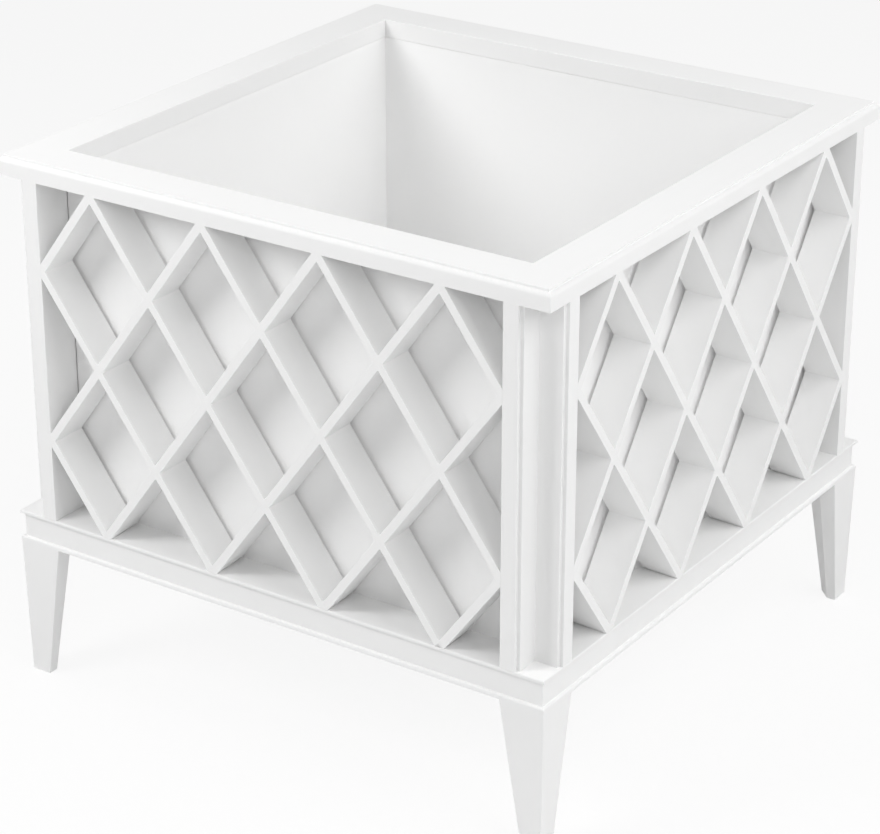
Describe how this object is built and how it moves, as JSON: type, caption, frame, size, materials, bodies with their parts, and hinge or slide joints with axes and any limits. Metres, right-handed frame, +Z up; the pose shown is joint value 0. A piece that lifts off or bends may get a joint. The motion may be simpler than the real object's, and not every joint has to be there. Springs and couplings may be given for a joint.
{
  "type": "versailles planter",
  "caption": "Square white wooden planter box with an open lattice over each solid side, notched corners, a moulded rim and base, and tapered legs.",
  "frame": {"origin": "on the floor, under the middle of the planter", "axes": "+Z up; -Y is the front, the face at the left of the picture; +X is the face at the right of the picture"},
  "size_m": [0.508, 0.508, 0.456],
  "materials": {
    "painted_wood": "satin white paint over primed wood and plywood",
    "bare_wood": "bare beech",
    "zinc_steel": "bright zinc plate"
  },
  "bodies": {
    "root": {"rim_board_front": "painted_wood", "rim_board_right": "painted_wood", "rim_board_back": "painted_wood", "rim_board_left": "painted_wood", "base_rail_front": "painted_wood", "base_rail_right": "painted_wood", "base_rail_back": "painted_wood", "base_rail_left": "painted_wood", "wall_front": "painted_wood", "wall_right": "painted_wood", "wall_back": "painted_wood", "wall_left": "painted_wood", "corner_post_back_right": "painted_wood", "corner_post_back_left": "painted_wood", "corner_post_front_left": "painted_wood", "corner_post_front_right": "painted_wood", "stile_front_left": "painted_wood", "stile_front_right": "painted_wood", "stile_right_front": "painted_wood", "stile_right_back": "painted_wood", "stile_back_right": "painted_wood", "stile_back_left": "painted_wood", "stile_left_back": "painted_wood", "stile_left_front": "painted_wood", "rising_slats_front": "painted_wood", "rising_slats_right": "painted_wood", "rising_slats_back": "painted_wood", "rising_slats_left": "painted_wood", "falling_slats_front": "painted_wood", "falling_slats_right": "painted_wood", "falling_slats_back": "painted_wood", "falling_slats_left": "painted_wood", "leg_back_right": "painted_wood", "leg_back_left": "painted_wood", "leg_front_left": "painted_wood", "leg_front_right": "painted_wood", "floor_panel": "painted_wood", "floor_bearer_left": "painted_wood", "floor_bearer_right": "painted_wood", "floor_screws": "zinc_steel", "rim_tongues": "bare_wood", "base_tongues": "bare_wood", "post_head_dowels": "bare_wood", "post_foot_dowels": "bare_wood", "leg_dowels": "bare_wood"}
  },
  "joints": []
}
